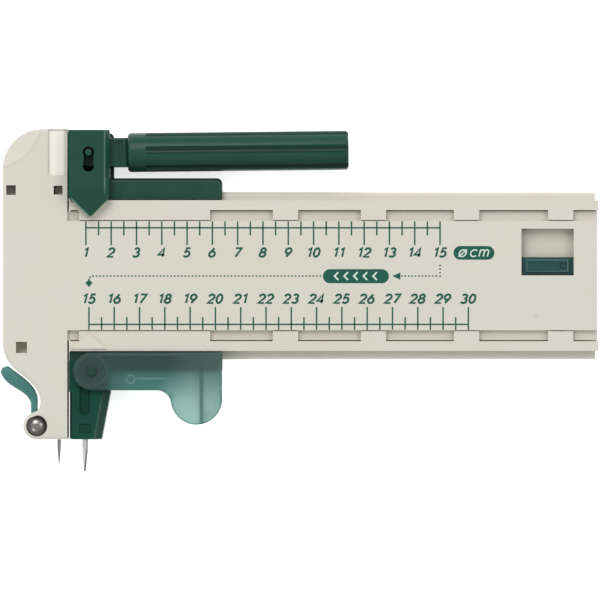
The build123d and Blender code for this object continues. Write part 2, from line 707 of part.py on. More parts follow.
# ---- Folding handle: pin, neck, spindle and the grip that turns on it ----
tilt = radians(handle_tilt)
pin_point = (handle_pin_x, handle_pin_y, handle_height)
handle_plan = Plane(origin=pin_point, x_dir=(cos(tilt), sin(tilt), 0), z_dir=(0, 0, 1))
handle_cross = Plane(origin=pin_point, x_dir=(-sin(tilt), cos(tilt), 0), z_dir=(cos(tilt), sin(tilt), 0))
barrel_bore = spindle_radius + shaft_gap

with BuildPart() as handle_pin:
    post(handle_pin_x, handle_pin_y, (carriage_plate - 0.3, head_height - 0.35), handle_pin_radius)
    fillet(handle_pin.faces().sort_by(Axis.Z)[-1].edges(), 0.2)
finish(handle_pin, "handle_pin")

with BuildPart() as handle_neck:
    with BuildSketch(handle_plan.offset(-neck_thickness / 2)):
        Circle(neck_half)
        Rectangle(barrel_start - shaft_gap, 2 * neck_half, align=(Align.MIN, Align.CENTER))
    extrude(amount=neck_thickness)
    fillet(handle_neck.faces().sort_by(Axis.Z)[-1].edges(), edge_round)
    # shallow grooves across both flats, beside the collar
    for side in (-1, 1):
        with BuildSketch(handle_plan.offset(side * neck_thickness / 2)):
            with Locations((neck_length, 0)):
                Rectangle(collar_groove, 2 * neck_half - 1, align=(Align.MIN, Align.CENTER))
        extrude(amount=-side * groove_depth, mode=Mode.SUBTRACT)
    post(handle_pin_x, handle_pin_y, (0, head_height), handle_pin_radius + shaft_gap, Mode.SUBTRACT)
    with BuildSketch(handle_cross.offset(neck_half)):
        Circle(spindle_radius)
    extrude(amount=barrel_start, mode=Mode.SUBTRACT)
finish(handle_neck, "handle_neck")

spindle_end = barrel_start + barrel_length - cap_length - 0.6
with BuildPart() as handle_spindle:
    with BuildSketch(handle_cross.offset(neck_half)):
        Circle(spindle_radius)
    extrude(amount=spindle_end - neck_half)
finish(handle_spindle, "handle_spindle")

with BuildPart() as spindle_washer:
    with BuildSketch(handle_cross.offset(spindle_end - washer_length)):
        Circle(cap_radius - 0.4)
        Circle(spindle_radius, mode=Mode.SUBTRACT)
    extrude(amount=washer_length)
finish(spindle_washer, "spindle_washer")

with BuildPart() as grip_barrel:
    with BuildSketch(handle_cross.offset(barrel_start)):
        Circle(barrel_radius)
    extrude(amount=barrel_length)
    fillet(grip_barrel.edges().filter_by(GeomType.CIRCLE), 0.7)
    flute_cutter = ((flute_width / 2) ** 2 + flute_depth**2) / (2 * flute_depth)
    flute_centre = barrel_radius - flute_depth + flute_cutter
    with BuildSketch(handle_cross.offset(barrel_start + barrel_plain)):
        with PolarLocations(flute_centre, flute_count, start_angle=90 - flute_turn):
            Circle(flute_cutter)
    extrude(amount=barrel_length, mode=Mode.SUBTRACT)
    with BuildSketch(handle_cross.offset(barrel_start)):
        Circle(barrel_bore)
    extrude(amount=barrel_length, mode=Mode.SUBTRACT)
    with BuildSketch(handle_cross.offset(spindle_end - washer_length - 0.1)):
        Circle(cap_radius)
    extrude(amount=barrel_length, mode=Mode.SUBTRACT)
finish(grip_barrel, "grip_barrel")

with BuildPart() as grip_cap:
    with BuildSketch(handle_cross.offset(barrel_start + barrel_length - cap_length)):
        Circle(cap_radius)
    extrude(amount=cap_length - 0.1)
finish(grip_cap, "grip_cap")
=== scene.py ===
# %% [markdown]
# # A slide-type compass cutter for circles
# The tool lies folded on its back. The frame holds its 25 real parts at their real places, so this file only
# gives them their looks: a camera and lights, one recipe for each plastic and metal, soft edges on the
# moulded parts, and the printed scale. Blender works in metres, so MM turns millimetres into them.

import json
import math

import bmesh
import bpy
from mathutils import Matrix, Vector


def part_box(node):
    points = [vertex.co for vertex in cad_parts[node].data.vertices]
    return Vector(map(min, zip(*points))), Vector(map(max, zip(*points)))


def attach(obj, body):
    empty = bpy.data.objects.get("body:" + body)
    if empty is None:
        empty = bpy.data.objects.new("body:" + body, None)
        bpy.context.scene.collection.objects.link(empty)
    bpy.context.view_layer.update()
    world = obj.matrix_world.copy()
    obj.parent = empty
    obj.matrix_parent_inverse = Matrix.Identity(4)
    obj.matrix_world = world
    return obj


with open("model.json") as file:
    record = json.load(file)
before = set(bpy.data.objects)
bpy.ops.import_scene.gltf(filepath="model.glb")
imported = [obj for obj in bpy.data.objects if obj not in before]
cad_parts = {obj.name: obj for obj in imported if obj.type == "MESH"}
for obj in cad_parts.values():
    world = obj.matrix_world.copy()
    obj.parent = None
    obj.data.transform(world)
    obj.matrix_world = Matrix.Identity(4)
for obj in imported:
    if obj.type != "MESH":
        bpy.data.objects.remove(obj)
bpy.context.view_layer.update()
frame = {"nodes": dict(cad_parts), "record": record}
nodes = frame["nodes"]
MM = 0.001


def centre_of(name):
    """X and Y of the middle of a part's box, in millimetres."""
    low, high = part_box(name)
    middle = (low + high) / 2
    return middle.x / MM, middle.y / MM


# %% [markdown]
# ## Camera
# The tool is seen from straight above, from far enough away that its sides hardly show. A long lens on a high
# camera does that: the lens follows from the distance and from the width that has to be in view.

# %% Camera
VIEW_WIDTH = 118.6 * MM
VIEW_HEIGHT = 1100 * MM
VIEW_CENTRE = (47.77 * MM, -4.82 * MM)
SENSOR = 36.0

SCALE_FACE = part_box("front_cover")[1].z  # the flat front that carries the scale
camera_data = bpy.data.cameras.new("camera")
camera = bpy.data.objects.new("camera", camera_data)
bpy.context.collection.objects.link(camera)
camera.location = (*VIEW_CENTRE, SCALE_FACE + VIEW_HEIGHT)
camera_data.sensor_width = SENSOR
camera_data.lens = SENSOR * VIEW_HEIGHT / VIEW_WIDTH
camera_data.clip_start = 0.01
camera_data.dof.use_dof = False
bpy.context.scene.camera = camera
print("lens", round(camera_data.lens, 1))

# %% [markdown]
# ## Light and floor
# Glossy plastic shows what it reflects, so the lamps are three large round soft boxes. The key stands over
# the grip's side and a little to the left, two weaker ones fill from the right and from the needle's side,
# and a pale sky keeps the gaps readable.

# %% Lights and floor
def panel(name, place, aim, size, power):
    """A round soft lamp that faces a point."""
    light = bpy.data.lights.new(name, "AREA")
    light.shape = "DISK"
    light.size = size
    light.energy = power
    lamp = bpy.data.objects.new(name, light)
    bpy.context.collection.objects.link(lamp)
    lamp.location = place
    lamp.rotation_euler = (Vector(aim) - Vector(place)).to_track_quat("-Z", "Y").to_euler()
    return lamp


MIDDLE = (47 * MM, 0, 0)
LAMPS = {  # place and size in metres, power in watts
    "key_panel": ((-0.18, 0.52, 0.72), 0.55, 4.2),
    "right_panel": ((0.55, 0.15, 0.68), 0.35, 1.2),
    "left_panel": ((-0.4, -0.5, 0.55), 0.4, 1.0),
}
for name, (place, size, power) in LAMPS.items():
    panel(name, place, MIDDLE, size, power)

sky = bpy.data.worlds.new("sky")
bpy.context.scene.world = sky
sky.use_nodes = True
sky.node_tree.nodes["Background"].inputs["Color"].default_value = (0.98, 0.99, 1.0, 1)
sky.node_tree.nodes["Background"].inputs["Strength"].default_value = 0.56
bpy.context.scene.view_settings.view_transform = "Standard"

FLOOR_REACH = 2.5
FLOOR_DROP = 0.2 * MM  # a hair below the tool's back, so the two faces never coincide
corners = [(sx * FLOOR_REACH, sy * FLOOR_REACH, 0) for sx, sy in ((-1, -1), (1, -1), (1, 1), (-1, 1))]
floor_mesh = bpy.data.meshes.new("floor")
floor_mesh.from_pydata(corners, [], [(0, 1, 2, 3)])
floor = bpy.data.objects.new("floor", floor_mesh)
floor.location.z = -FLOOR_DROP
bpy.context.collection.objects.link(floor)
print("lamps", len(LAMPS))

# %% [markdown]
# ## Shader maths as expressions
# A material is a small program made of nodes. Written out node by node it is long and hard to read, so Wire
# wraps one output and lets ordinary operators add the Math nodes, and Recipe holds one material, its main
# shader and a single way to add any other node.

# %% Wire and Recipe
class Wire:
    """One output of a shader node; maths on it adds Math nodes."""

    def __init__(self, recipe, socket):
        self.recipe = recipe
        self.socket = socket

    def __neg__(self):
        return self.maths("MULTIPLY", self, -1.0)

    def maths(self, operation, first, second):
        return self.recipe.node("ShaderNodeMath", {"operation": operation}, {0: first, 1: second})

    def __add__(self, other):
        return self.maths("ADD", self, other)

    __radd__ = __add__

    def __sub__(self, other):
        return self.maths("SUBTRACT", self, other)

    def __rsub__(self, other):
        return self.maths("SUBTRACT", other, self)

    def __mul__(self, other):
        return self.maths("MULTIPLY", self, other)

    __rmul__ = __mul__

    def __pow__(self, other):
        return self.maths("POWER", self, other)

    def __abs__(self):
        return self.maths("ABSOLUTE", self, 0.0)


class Recipe:
    """One material: its tree, its Principled shader, and helpers that add nodes."""

    def __init__(self, name, **constants):
        self.material = bpy.data.materials.new(name)
        self.material.use_nodes = True
        self.tree = self.material.node_tree
        self.shader = self.tree.nodes["Principled BSDF"]
        for socket, value in constants.items():
            self.shader.inputs[socket.replace("_", " ")].default_value = value

    def node(self, kind, settings=None, sockets=None, out=0):
        """Add a node: settings first, then values or wires into its sockets. Returns one of its outputs."""
        new = self.tree.nodes.new(kind)
        for key, value in (settings or {}).items():
            setattr(new, key, value)
        for key, value in (sockets or {}).items():
            if isinstance(value, Wire):
                self.tree.links.new(value.socket, new.inputs[key])
            else:
                new.inputs[key].default_value = value
        return Wire(self, new.outputs[out])

    def place(self):
        """The point's place on the part, in metres."""
        return self.node("ShaderNodeTexCoord", out="Object")

    def axes(self):
        """X, Y and Z of the place, in millimetres."""
        scaled = self.node("ShaderNodeVectorMath", {"operation": "SCALE"}, {0: self.place(), "Scale": 1 / MM})
        split = self.node("ShaderNodeSeparateXYZ", None, {0: scaled}).socket.node
        return [Wire(self, output) for output in split.outputs]

    def distance(self, x, y):
        """Distance in the XY plane from an upright line, in millimetres."""
        here_x, here_y, _ = self.axes()
        return ((here_x - x) ** 2 + (here_y - y) ** 2) ** 0.5

    def between(self, value, low, high, soft):
        """1 between low and high, 0 outside, with soft shoulders."""
        return self.band(value, low - soft, low + soft) * (1 - self.band(value, high - soft, high + soft))

    def stretched(self, scale):
        """The place scaled by a different amount along each axis."""
        return self.node("ShaderNodeVectorMath", {"operation": "MULTIPLY"}, {0: self.place(), 1: scale})

    def noise(self, scale, detail=2.0, place=None):
        """Soft random blotches between 0 and 1, about 1 / scale metres across."""
        sockets = {"Vector": place or self.place(), "Scale": scale, "Detail": detail}
        return self.node("ShaderNodeTexNoise", None, sockets)

    def band(self, value, low, high):
        """0 below low, 1 above high, smooth between."""
        sockets = {"Value": value, "From Min": low, "From Max": high}
        return self.node("ShaderNodeMapRange", {"interpolation_type": "SMOOTHSTEP"}, sockets)

    def stripe(self, value, half, soft):
        """1 where value is near 0, fading out between half and soft on either side."""
        return 1 - self.band(abs(value), half, soft)

    def mix(self, factor, first, second):
        """Blend two colours."""
        return self.node("ShaderNodeMix", {"data_type": "RGBA"}, {0: factor, 6: first, 7: second}, out=2)

    def bump(self, height, distance, strength=1.0):
        """Turn a height into a normal."""
        sockets = {"Height": height, "Distance": distance, "Strength": strength}
        return self.node("ShaderNodeBump", None, sockets)

    def feed(self, **wires):
        """Join wires to the main shader's sockets and hand back the finished material."""
        for socket, wire in wires.items():
            self.tree.links.new(wire.socket, self.shader.inputs[socket.replace("_", " ")])
        return self.material


print("recipe ready")

# %% [markdown]
# ## Ivory plastic
# The real tool is injection moulded. Ivory plastic has a fine satin grain from the mould, a faint drift of
# colour where the melt flowed, and a little yellowing. Noise in the part's own space gives every side the
# same grain at the same scale, backs and undersides too. Marks that belong to one place are masks on X, Y and
# Z, in millimetres.

# %% Ivory plastic
def ivory_recipe(name, marks):
    """Satin ivory; marks is a function that may change the colour in places."""
    ivory = Recipe(name, Specular_IOR_Level=0.3)
    flow = ivory.noise(55, 3)
    speck = ivory.noise(2600, 2)
    grain = ivory.noise(9000, 1)
    yellowing = ivory.band(flow, 0.35, 0.7) * 0.7
    dust = ivory.band(speck, 0.62, 0.75) * 0.1
    warm = ivory.mix(yellowing, (0.61, 0.592, 0.518, 1), (0.59, 0.565, 0.488, 1))
    shade = ivory.mix(dust, warm, (0.48, 0.45, 0.38, 1))
    return ivory.feed(
        Base_Color=marks(ivory, shade),
        Roughness=0.42 + flow * 0.12 + grain * 0.05,
        Normal=ivory.bump(grain + speck * 0.6, 0.006 * MM, 0.5),
    )


STEP_X = (-2.1, 1.1)
STEP_Y = (19.8, 40.0)
STEP_Z = (7.7, 7.9)
DISH_CENTRE = (-14.07, 32.12)
DISH_RADIUS = 11.2
SINK_MARK = (94.4, -8.0)
PLATFORM_X = (91.0, 102.5)
PLATFORM_EDGE = (-0.4, -0.1)
PLATFORM_Z = (6.1, 6.3)


def no_marks(recipe, shade):
    return shade


def front_marks(recipe, shade):
    """A painted highlight on the step beside the head, painted shade along the edge of the thumb dish and in
    a sink mark near the window.
    """
    x, y, z = recipe.axes()
    step = recipe.between(x, *STEP_X, 0.25) * recipe.between(y, *STEP_Y, 0.1)
    strip = step * recipe.between(z, *STEP_Z, 0.05)
    sink = 1 - recipe.band(recipe.distance(*SINK_MARK), 0.2, 0.9)
    dish = recipe.stripe(recipe.distance(*DISH_CENTRE) - DISH_RADIUS, 0.05, 0.45)
    # painted highlight: the step's strip is lightened as if it caught the light
    lit_step = recipe.mix(strip, shade, (0.86, 0.83, 0.75, 1))
    # painted shade along the dish's edge and in the sink mark
    return recipe.mix(sink * 0.25 + dish * 0.22, lit_step, (0.36, 0.33, 0.26, 1))


def rear_marks(recipe, shade):
    """The platform behind the window lies in the shade of its rim."""
    x, y, z = recipe.axes()
    inside = recipe.between(x, *PLATFORM_X, 0.1) * recipe.band(y, *PLATFORM_EDGE)
    platform = inside * recipe.between(z, *PLATFORM_Z, 0.05)
    return recipe.mix(platform * 0.3, shade, (0.40, 0.375, 0.31, 1))


ivory_plastic = ivory_recipe("ivory_plastic", no_marks)
ivory_rear = ivory_recipe("ivory_rear_plastic", rear_marks)
ivory_front = ivory_recipe("ivory_front_plastic", front_marks)
print(ivory_plastic.name, ivory_rear.name, ivory_front.name)

# %% [markdown]
# ## Green plastic
# The dark green is smoother than the ivory, with hairline scratches along the tool. Painted shade darkens the
# flutes, the grip's underside, the bar's edge under the grip and the foot's bevel, recess and plate, and
# painted highlights lighten the head's bevel and top and the pointer's and foot's edges; faint random patches
# stand for handling. Each part's recipe therefore takes two masks, one for painted shade and one for painted
# highlights.

# %% Green plastic
def green_recipe(name, dirt_and_shade, tone_and_highlight, gloss=0.22):
    """Dark green; the first mask says where it is darkened by painted shade and handling patches, the second
    where it is lightened by painted highlights and faint tone.
    """
    green = Recipe(name, Specular_IOR_Level=gloss)
    flow = green.noise(80, 3)
    grain = green.noise(5000, 2)
    scratch = green.band(green.noise(1.0, 4, green.stretched((260, 5200, 2600))), 0.60, 0.72)
    deep = green.mix(flow, (0.006, 0.048, 0.030, 1), (0.010, 0.064, 0.043, 1))
    worn = green.mix(scratch * 0.12, deep, (0.04, 0.12, 0.095, 1))
    # the second mask lightens the colour: painted highlights on some parts, faint random tone on the others
    lit_and_toned = green.mix(tone_and_highlight(green), worn, (0.22, 0.36, 0.30, 1))
    return green.feed(
        # the first mask darkens the colour: painted shade on some parts, handling patches on most
        Base_Color=green.mix(dirt_and_shade(green), lit_and_toned, (0.002, 0.020, 0.013, 1)),
        Roughness=0.28 + flow * 0.12 + scratch * 0.08,
        Normal=green.bump(grain + scratch * 0.5, 0.006 * MM, 0.35),
    )


PIVOT_X, PIVOT_Y = centre_of("handle_pin")
GRIP_AXIS_Z = 5.3
GRIP_SLOPE = math.tan(math.radians(0.6))  # the folded grip stands off by this much
FLUTE_START = (17.3, 17.9)
FLUTE_DEPTH = (3.3, 3.8)
BAR_EDGE = (18.2, 18.9)
HEAD_BEVEL_X = 9.25
HEAD_TOP = (28.4, 28.75)
POINTER_LEFT = (2.1, 15.48)
POINTER_NORMAL = (0.694, 0.72)
FOOT_BEVEL_Z = (5.0, 7.82)
FOOT_SIDE = (8.85, -22.9)
FOOT_TAPER = 0.185


def faint(recipe):
    return recipe.noise(300, 2) * 0.04


def patchy(recipe):
    """Faint darker patches from handling."""
    return recipe.band(recipe.noise(140, 2), 0.55, 0.8) * 0.25


def flute_shadow(recipe):
    """Painted shade in the flutes, wherever the surface lies inside the barrel's radius, and on the grip's
    underside.
    """
    x, y, z = recipe.axes()
    across = y - PIVOT_Y - (x - PIVOT_X) * GRIP_SLOPE
    height = z - GRIP_AXIS_Z
    radius = (across ** 2 + height ** 2) ** 0.5
    inside = 1 - recipe.band(radius, *FLUTE_DEPTH)
    # painted shade on the grip's lower side, away from the key lamp
    underside = 1 - recipe.band(across, -3.4, -0.2)
    return recipe.band(x, *FLUTE_START) * inside * 0.85 + underside * 0.45


def bar_shadow(recipe):
    """Painted shade on the rounded outer edge of the upper bar under the grip, with handling patches and an
    even darkening.
    """
    x, y, _ = recipe.axes()
    return recipe.band(y, *BAR_EDGE) * recipe.band(x, 9.0, 12.0) * 0.6 + patchy(recipe) + 0.12


def head_shine(recipe):
    """Painted highlights along the head's bevel, its top and the pointer's left edge."""
    x, y, _ = recipe.axes()
    bevel = recipe.stripe(x - HEAD_BEVEL_X, 0.05, 0.2) * recipe.band(y, 15.5, 17.5)
    top = recipe.band(y, *HEAD_TOP)
    off_edge = (x - POINTER_LEFT[0]) * POINTER_NORMAL[0] + (y - POINTER_LEFT[1]) * POINTER_NORMAL[1]
    left_edge = recipe.stripe(off_edge - 0.12, 0.05, 0.22) * recipe.band(x, 2.2, 3.0)
    return bevel * 0.35 + top * 0.2 + left_edge * 0.55


def foot_shadow(recipe):
    """Painted shade on the foot's bevelled side and on the recess and the small plate, with handling patches.
    """
    _, _, z = recipe.axes()
    return recipe.between(z, *FOOT_BEVEL_Z, 0.06) * 0.3 + patchy(recipe)


def foot_shine(recipe):
    """A painted highlight down the edge of the bevel."""
    x, y, _ = recipe.axes()
    side = FOOT_SIDE[0] + (y - FOOT_SIDE[1]) * FOOT_TAPER
    return recipe.stripe(x - side, 0.05, 0.3) * recipe.band(-y, 22.5, 26.0) * 0.14


def pin_shadow(recipe):
    """The guard's pin is darker than the plastic round it."""
    return patchy(recipe) + 0.35


green_plastic = green_recipe("green_plastic", patchy, faint)
green_grip = green_recipe("green_grip_plastic", flute_shadow, faint)
green_bar = green_recipe("green_bar_plastic", bar_shadow, faint)
green_head = green_recipe("green_head_plastic", patchy, head_shine)
green_foot = green_recipe("green_foot_plastic", foot_shadow, foot_shine, gloss=0.08)
green_pin = green_recipe("green_pin_plastic", pin_shadow, faint)
print(green_plastic.name, green_grip.name, green_bar.name)
print(green_head.name, green_foot.name, green_pin.name)

# %% [markdown]
# ## See-through teal plastic
# The guard, the needle cover and the lock button are tinted clear plastic. Light passes through, so the floor
# behind turns pale teal while the dark foot behind turns deep teal. Transmission does most of that; the guard
# also has a painted darker tint where the bar and foot lie behind, painted shade along its rib, rims and
# edges and painted highlights on its lip and a step line, and the button has painted highlights round its
# frame.
# The surface keeps faint flow lines and a polish that is a little worn.

# %% Teal plastic
def teal_recipe(name, tint, worn, clear, frost, marks):
    """Tinted plastic, more or less clear and more or less frosted; marks gives its colour and its relief."""
    teal = Recipe(name, Transmission_Weight=clear, IOR=1.45, Specular_IOR_Level=0.4)
    flow = teal.noise(1.0, 3, teal.stretched((60, 220, 220)))
    grain = teal.noise(3500, 2)
    colour = teal.mix(teal.band(flow, 0.3, 0.75), tint, worn)
    shade, relief = marks(teal, colour)
    return teal.feed(
        Base_Color=shade,
        Roughness=frost + flow * 0.12 + grain * 0.04,
        Normal=teal.bump(grain * 0.3 + flow + relief * 8, 0.01 * MM, 0.5),
    )


BUTTON_OUTER = ((92.35, 101.0), (0.6, 3.3))
BUTTON_INNER = ((92.75, 100.6), (0.95, 2.95))
BUTTON_DOT = (99.85, 1.95)
GUARD_PIVOT = centre_of("guard_pin")
GATE_RING = (14.25, -20.5)
STEP_LINE_HIGHLIGHT = ((15.4, 21.5), -20.4)
LIP_HIGHLIGHT = ((8.0, 25.5), -15.6)
LOBE_CENTRE = (27.3, -24.4)
RIB_X = 28.3


def plain_teal(recipe, colour):
    return colour, recipe.noise(1200, 1) * 0.03


def button_marks(recipe, colour):
    """Painted highlights around the button's raised frame and a dark ring around its dot."""
    x, y, _ = recipe.axes()
    frames = []
    for x_range, y_range in (BUTTON_OUTER, BUTTON_INNER):
        frames.append(recipe.between(x, *x_range, 0.08) * recipe.between(y, *y_range, 0.08))
    outer, inner = frames
    ring = recipe.stripe(recipe.distance(*BUTTON_DOT) - 0.6, 0.05, 0.25)
    # painted highlight along the frame's lines
    pale = recipe.mix((outer - inner) * 0.3, colour, (0.16, 0.30, 0.29, 1))
    return recipe.mix(ring * 0.7, pale, (0.004, 0.03, 0.03, 1)), recipe.noise(1200, 1) * 0.03


def guard_marks(recipe, colour):
    """Painted darker tint where the bar and foot lie behind, painted shade on the rib, rims and edges,
    painted highlights on a step line and the lip, a moulding ring, a hub ring, and darker round the pivot.
    """
    x, y, _ = recipe.axes()
    from_pivot = recipe.distance(*GUARD_PIVOT)
    # painted shade: a darker tint where the dark bar and foot lie behind the guard
    deep = recipe.band(y, -26.5, -19.0) * 0.6 + (1 - recipe.band(x, 14.0, 29.0)) * 0.8
    ring = recipe.stripe(recipe.distance(*GATE_RING) - 0.8, 0.0, 0.3)
    hub = recipe.between(from_pivot, 2.75, 3.35, 0.12)
    # painted highlights on the step line and along the top lip
    line = recipe.between(x, *STEP_LINE_HIGHLIGHT[0], 0.8) * recipe.stripe(y - STEP_LINE_HIGHLIGHT[1], 0.0, 0.25)
    lip = recipe.between(x, *LIP_HIGHLIGHT[0], 1.0) * recipe.stripe(y - LIP_HIGHLIGHT[1], 0.0, 0.3)
    # painted shade along the rib, the lobe's rim and the right and under-arm edges
    rib = recipe.stripe(x - RIB_X, 0.2, 0.6) * recipe.band(-16.5 - y, 0.0, 4.0)
    lobe_rim = recipe.between(recipe.distance(*LOBE_CENTRE), 4.75, 5.4, 0.15)
    rim = lobe_rim * (1 - recipe.band(y, -24.0, -22.5))
    under_arm = (1 - recipe.band(y, -22.65, -22.4)) * recipe.band(21.5 - x, 0.0, 0.6)
    edge = recipe.band(x, 31.9, 32.2) + under_arm
    heel = 1 - recipe.band(from_pivot, 0.5, 1.9)
    tinted = recipe.mix(deep, colour, (0.055, 0.215, 0.18, 1))
    pale = recipe.mix(ring * 0.3 + hub * 0.12 + line * 0.35 + lip * 0.4, tinted, (0.42, 0.66, 0.60, 1))
    dark = recipe.mix(heel, pale, (0.03, 0.11, 0.10, 1))
    shaded = rib * 0.85 + rim * 0.6 + edge * 0.6
    return recipe.mix(shaded, dark, (0.055, 0.20, 0.175, 1)), ring + hub + line


teal_guard = teal_recipe(
    "teal_guard_plastic", (0.35, 0.56, 0.51, 1), (0.39, 0.60, 0.55, 1), 0.85, 0.52, guard_marks)
teal_plastic = teal_recipe(
    "teal_plastic", (0.078, 0.255, 0.235, 1), (0.10, 0.30, 0.275, 1), 0.4, 0.2, plain_teal)
teal_button = teal_recipe(
    "teal_button_plastic", (0.010, 0.060, 0.056, 1), (0.015, 0.076, 0.070, 1), 0.1, 0.2, button_marks)
print(teal_guard.name, teal_plastic.name, teal_button.name)

# %% [markdown]
# ## Metals and rubber
# Ground steel has fine lines along its length, the domed pin is dark chrome with a few smudges and painted
# shade towards its rim, the clamps are turned brass, and the hidden brake pad is dull rubber.

# %% Metals and rubber
def metal_recipe(name, colour, dark, roughness, lines, smudge):
    """Polished or ground metal: fine lines along Y and soft smudges."""
    metal = Recipe(name, Metallic=1.0)
    grind = metal.noise(1.0, 3, metal.stretched(lines))
    smear = metal.noise(900, 2)
    return metal.feed(
        Base_Color=metal.mix(metal.band(smear, 0.4, 0.8) * smudge, colour, dark),
        Roughness=roughness + smear * 0.08 + grind * 0.06,
        Normal=metal.bump(grind, 0.004 * MM, 0.3),
    )


def chrome_dome():
    """Dark chrome with painted shade towards the dome's rim in place of its dark reflections, and a few
    smudges.
    """
    dome = Recipe("polished_chrome", Metallic=1.0)
    smear = dome.noise(900, 2)
    # painted shade: darker towards the dome's rim, with a little smudge
    rim_shade_and_smudge = dome.band(dome.distance(*centre_of("needle_cover_pin")), 0.9, 1.75) * 0.9 + smear * 0.1
    return dome.feed(
        Base_Color=dome.mix(rim_shade_and_smudge, (0.30, 0.29, 0.26, 1), (0.03, 0.026, 0.02, 1)),
        Roughness=0.24 + smear * 0.12,
        Normal=dome.bump(smear, 0.01 * MM, 0.3),
    )


def dull_rubber():
    """Black rubber with a dusty, pitted skin."""
    pad = Recipe("pad_rubber", Specular_IOR_Level=0.3)
    dust = pad.noise(2500, 3)
    return pad.feed(
        Base_Color=pad.mix(dust, (0.012, 0.012, 0.012, 1), (0.035, 0.034, 0.033, 1)),
        Roughness=0.7 + dust * 0.2,
        Normal=pad.bump(dust, 0.02 * MM, 0.6),
    )


steel = metal_recipe(
    "ground_steel", (0.36, 0.36, 0.37, 1), (0.14, 0.135, 0.13, 1), 0.22, (9000, 500, 9000), 0.5)
brass = metal_recipe(
    "turned_brass", (0.72, 0.52, 0.22, 1), (0.42, 0.29, 0.12, 1), 0.25, (6000, 900, 6000), 0.5)
chrome = chrome_dome()
rubber = dull_rubber()
print(steel.name, chrome.name, brass.name, rubber.name)

# %% [markdown]
# ## Printing ink and the table
# The scale is pad printed: a thin, slightly uneven film with a satin surface. The table is a plain pale sheet
# with only enough grain to hold the soft shadows.

# %% Ink and table
def ink_recipe(name, colour, thin):
    """A printed film whose density drifts a little."""
    ink = Recipe(name, Specular_IOR_Level=0.2)
    density = ink.noise(1500, 3)
    patch = ink.noise(150, 2)
    return ink.feed(
        Base_Color=ink.mix(ink.band(density, 0.45, 0.85) * 0.35 + patch * 0.08, colour, thin),
        Roughness=0.42 + density * 0.12,
        Normal=ink.bump(density, 0.004 * MM, 0.4),
    )


def pale_sheet():
    """A matt, slightly glowing sheet, so that shadows on it stay faint."""
    sheet = Recipe("pale_table", Specular_IOR_Level=0.1, Emission_Strength=0.68)
    fibre = sheet.noise(700, 3)
    return sheet.feed(
        Base_Color=sheet.mix(fibre, (0.90, 0.90, 0.90, 1), (0.94, 0.94, 0.94, 1)),
        Roughness=0.75 + fibre * 0.1,
        Emission_Color=sheet.mix(fibre, (0.98, 0.98, 0.98, 1), (1, 1, 1, 1)),
    )


green_ink = ink_recipe("green_ink", (0.006, 0.085, 0.056, 1), (0.035, 0.15, 0.11, 1))
pale_ink = ink_recipe("pale_ink", (0.60, 0.69, 0.62, 1), (0.52, 0.62, 0.55, 1))
table = pale_sheet()
floor.data.materials.append(table)
print(green_ink.name, pale_ink.name, table.name)

# %% [markdown]
# ## Finishes on the parts
# The record says which slot each part takes its finish from, so one table from slot to material dresses them
# all. A few parts of a slot get a recipe of their own, some for a colour of their own and most for painted
# shade and painted highlights that fit them, and those are named one by one.

# %% Dress the parts
finishes = {
    "ivory_plastic": ivory_plastic,
    "green_plastic": green_plastic,
    "teal_plastic": teal_plastic,
    "steel": steel,
    "chrome": chrome,
    "brass": brass,
    "rubber": rubber,
}
special = {
    "front_cover": ivory_front,
    "rear_cover": ivory_rear,
    "grip_barrel": green_grip,
    "carriage_base": green_bar,
    "head_cover": green_head,
    "foot_cover": green_foot,
    "guard_pin": green_pin,
    "lock_button": teal_button,
    "blade_guard": teal_guard,
}
for entry in frame["record"]["subparts"]:
    name = entry["node"]
    part = nodes[name]
    part.data.materials.clear()
    part.data.materials.append(special.get(name, finishes[entry["material_slot"]]))

# %% [markdown]
# ## Soft edges
# No moulded edge is perfectly sharp: a tenth of a millimetre of rounding catches the light along every rim.
# A Bevel modifier adds it to the straight edges of the frame's meshes without moving any face.

# %% Soft edges
SOFT_EDGE = {  # millimetres
    "front_cover": 0.12,
    "rear_cover": 0.12,
    "middle_slide": 0.14,
    "carriage_base": 0.16,
    "head_cover": 0.32,
    "foot_cover": 0.16,
    "handle_neck": 0.12,
}
for name, width in SOFT_EDGE.items():
    bevel = nodes[name].modifiers.new("soft_edge", "BEVEL")
    bevel.width = width * MM
    bevel.segments = 2
    bevel.limit_method = "ANGLE"
    bevel.angle_limit = math.radians(40)
    bevel.use_clamp_overlap = True
    bevel.harden_normals = True
print("softened", len(SOFT_EDGE))

# %% [markdown]
# ## The printed scale
# The upper row reads circles from 1 to 15 cm and the lower row from 15 to 30 cm. The blade moves by the
# circle's radius, so neighbouring centimetre marks stand 5 mm apart. Each line and numeral is a pen stroke: a
# path with a width, laid on the face as a very thin film. Strokes keep the drawn, even look of such numerals.

# %% Pen strokes
INK_FILM = 0.02 * MM
LAYER = 0.002 * MM  # crossing strokes differ by this, so their faces never coincide
LAYERS = 5
LONGEST_MITRE = 1.8


def arc(centre, radii, start, stop, steps=14):
    """Points along part of an ellipse, angles in degrees."""
    turn = [math.radians(start + (stop - start) * i / steps) for i in range(steps + 1)]
    return [(centre[0] + radii[0] * math.cos(a), centre[1] + radii[1] * math.sin(a)) for a in turn]


